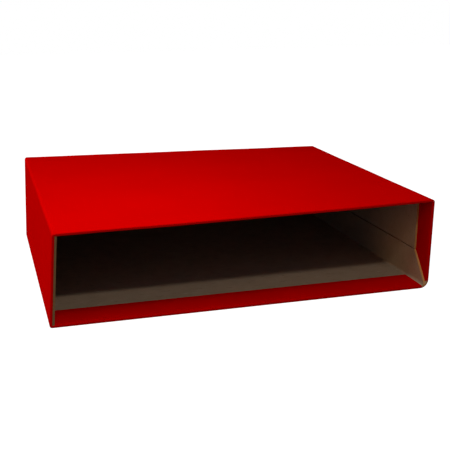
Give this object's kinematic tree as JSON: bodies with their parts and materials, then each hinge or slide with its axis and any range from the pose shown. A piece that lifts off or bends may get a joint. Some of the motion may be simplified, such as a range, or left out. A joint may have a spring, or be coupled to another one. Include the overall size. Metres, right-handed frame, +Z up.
{
  "type": "archive storage box",
  "caption": "Flat open-sided slipcase of folded board covered in red paper, for storing a lever arch file.",
  "frame": {"origin": "middle of the underside, level with the surface that the box lies on", "axes": "+X along the open mouth, +Y from the mouth to the back panel, +Z up through the top panel"},
  "size_m": [0.35, 0.29, 0.085],
  "materials": {
    "red_paper": "smooth printed covering paper with a low sheen",
    "grey_board": "raw recycled grey-brown board, matt and flecked"
  },
  "bodies": {
    "root": {"board_carcass": "grey_board", "covering_paper": "red_paper"}
  },
  "joints": []
}
